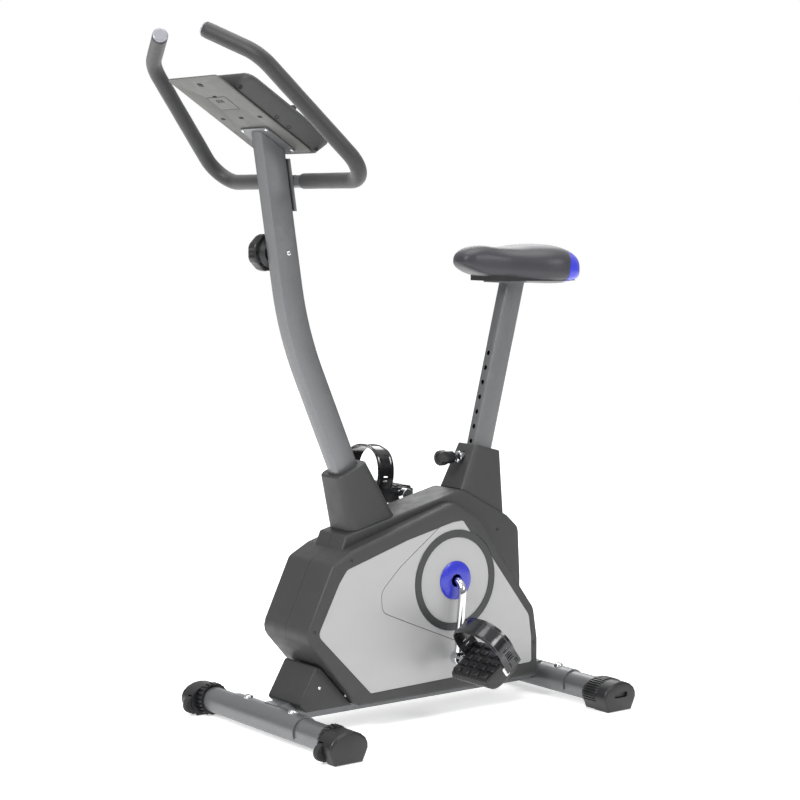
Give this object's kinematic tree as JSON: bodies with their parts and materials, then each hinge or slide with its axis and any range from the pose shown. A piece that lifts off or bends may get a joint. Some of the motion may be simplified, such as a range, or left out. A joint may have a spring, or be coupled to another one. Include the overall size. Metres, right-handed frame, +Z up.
{
  "type": "exercise bike",
  "caption": "Upright exercise bike with a belt-driven magnetic flywheel behind side covers, height-adjustable saddle, strapped pedals, tension knob, padded handlebar and console.",
  "frame": {"origin": "on the floor under the middle of the bounding box", "axes": "+Z up; -Y towards the handlebar and transport wheels, +Y towards the saddle; +X towards the rider's left"},
  "size_m": [0.51, 0.9011, 1.3101],
  "materials": {
    "frame_powder_coat": "satin grey metallic powder coat",
    "zinc_plated_steel": "zinc plated, dull",
    "dark_cover_plastic": "fine-grained dark grey",
    "silver_panel": "silver paint, satin",
    "ring_plastic": "satin dark grey",
    "blue_plastic": "semi-gloss blue",
    "black_plastic": "satin black",
    "strap_plastic": "glossy black",
    "chrome_steel": "polished chrome plate",
    "bearing_steel": "ground steel",
    "flywheel_iron": "turned rim, painted sides",
    "rubber": "matt black",
    "cable_sheath": "black sheath",
    "foam": "closed-cell foam sleeve",
    "plug_plastic": "pale glossy plug",
    "console_grey": "light grey, fine grain",
    "display_lens": "tinted clear window",
    "saddle_vinyl": "charcoal vinyl cover over foam"
  },
  "bodies": {
    "frame": {"battery_door": "console_grey", "console_back": "console_grey", "console_bracket": "zinc_plated_steel", "console_housing": "dark_cover_plastic", "console_lens": "display_lens", "cover_left": "dark_cover_plastic", "cover_right": "dark_cover_plastic", "crank_bearing_left": "bearing_steel", "crank_bearing_right": "bearing_steel", "crank_panel_left": "silver_panel", "crank_panel_right": "silver_panel", "drive_belt": "rubber", "flywheel_bearing_left": "bearing_steel", "flywheel_bearing_right": "bearing_steel", "front_cap_left": "black_plastic", "front_cap_right": "black_plastic", "front_lower_cover": "dark_cover_plastic", "front_post": "frame_powder_coat", "front_stabilizer": "frame_powder_coat", "grip_left": "foam", "grip_plug_left": "plug_plastic", "grip_plug_right": "plug_plastic", "grip_right": "foam", "handlebar": "frame_powder_coat", "hub_cap_left": "blue_plastic", "hub_cap_right": "blue_plastic", "main_frame": "frame_powder_coat", "pin_collar": "chrome_steel", "post_boot": "dark_cover_plastic", "rear_cap_left": "black_plastic", "rear_cap_right": "black_plastic", "rear_stabilizer": "frame_powder_coat", "seat_shroud": "dark_cover_plastic", "seat_tube_bushing": "black_plastic", "sensor_wire": "cable_sheath", "side_panel_left": "silver_panel", "side_panel_right": "silver_panel", "speed_sensor": "black_plastic", "tension_cable": "cable_sheath", "tension_housing": "black_plastic", "trim_ring_left": "ring_plastic", "trim_ring_right": "ring_plastic"},
    "crank": {"crank": "chrome_steel", "crank_pulley": "black_plastic"},
    "flywheel": {"flywheel": "flywheel_iron"},
    "pedal_left": {"pedal_left": "black_plastic", "pedal_strap_left": "strap_plastic"},
    "pedal_right": {"pedal_right": "black_plastic", "pedal_strap_right": "strap_plastic"},
    "seat": {"seat_post": "frame_powder_coat", "saddle_base": "black_plastic", "saddle_pad": "saddle_vinyl"},
    "seat_pin": {"seat_pull_pin": "black_plastic"},
    "tension_knob": {"tension_knob": "black_plastic"},
    "magnets": {"magnet_bracket": "zinc_plated_steel", "magnet_strip": "bearing_steel"},
    "wheel_left": {"transport_wheel_left": "rubber"},
    "wheel_right": {"transport_wheel_right": "rubber"},
    "mode_button": {"mode_button": "black_plastic"}
  },
  "joints": [
    {"name": "crank_spin", "type": "hinge", "parent": "frame", "child": "crank", "pos_m": [0, 0.1285, 0.266], "axis": [1, 0, 0], "continuous": true},
    {"name": "flywheel_spin", "type": "hinge", "parent": "frame", "child": "flywheel", "pos_m": [0, -0.0885, 0.19], "axis": [1, 0, 0], "continuous": true},
    {"name": "pedal_left_spin", "type": "hinge", "parent": "crank", "child": "pedal_left", "pos_m": [0.13, 0.1156, 0.11856], "axis": [1, 0, 0], "continuous": true},
    {"name": "pedal_right_spin", "type": "hinge", "parent": "crank", "child": "pedal_right", "pos_m": [-0.13, 0.1414, 0.41344], "axis": [1, 0, 0], "continuous": true},
    {"name": "seat_height", "type": "slide", "parent": "frame", "child": "seat", "axis": [0, 0.2446, 0.9696], "range_m": [-0.18, 0.09]},
    {"name": "seat_pin_pull", "type": "slide", "parent": "frame", "child": "seat_pin", "axis": [0, -1, 0], "range_m": [-0.009, 0.012]},
    {"name": "tension_knob_turn", "type": "hinge", "parent": "frame", "child": "tension_knob", "pos_m": [-0.0346, -0.22878, 0.905], "axis": [1, 0, 0], "range_deg": [0, 270]},
    {"name": "magnet_bracket_tilt", "type": "hinge", "parent": "frame", "child": "magnets", "pos_m": [0, -0.04294, 0.29232], "axis": [1, 0, 0], "range_deg": [0, 1.8]},
    {"name": "transport_wheel_left_spin", "type": "hinge", "parent": "frame", "child": "wheel_left", "pos_m": [0.222, -0.2925, 0.0215], "axis": [1, 0, 0], "continuous": true},
    {"name": "transport_wheel_right_spin", "type": "hinge", "parent": "frame", "child": "wheel_right", "pos_m": [-0.222, -0.2925, 0.0215], "axis": [1, 0, 0], "continuous": true},
    {"name": "mode_button_press", "type": "slide", "parent": "frame", "child": "mode_button", "axis": [0, -0.5373, -0.8434], "range_m": [0, 0.0015], "stiffness_N_per_m": 300, "springref_m": -0.0003}
  ],
  "couplings": [
    {"joint": "flywheel_spin", "follows": "crank_spin", "ratio": 6.64},
    {"joint": "magnet_bracket_tilt", "follows": "tension_knob_turn", "ratio": 0.006633}
  ]
}
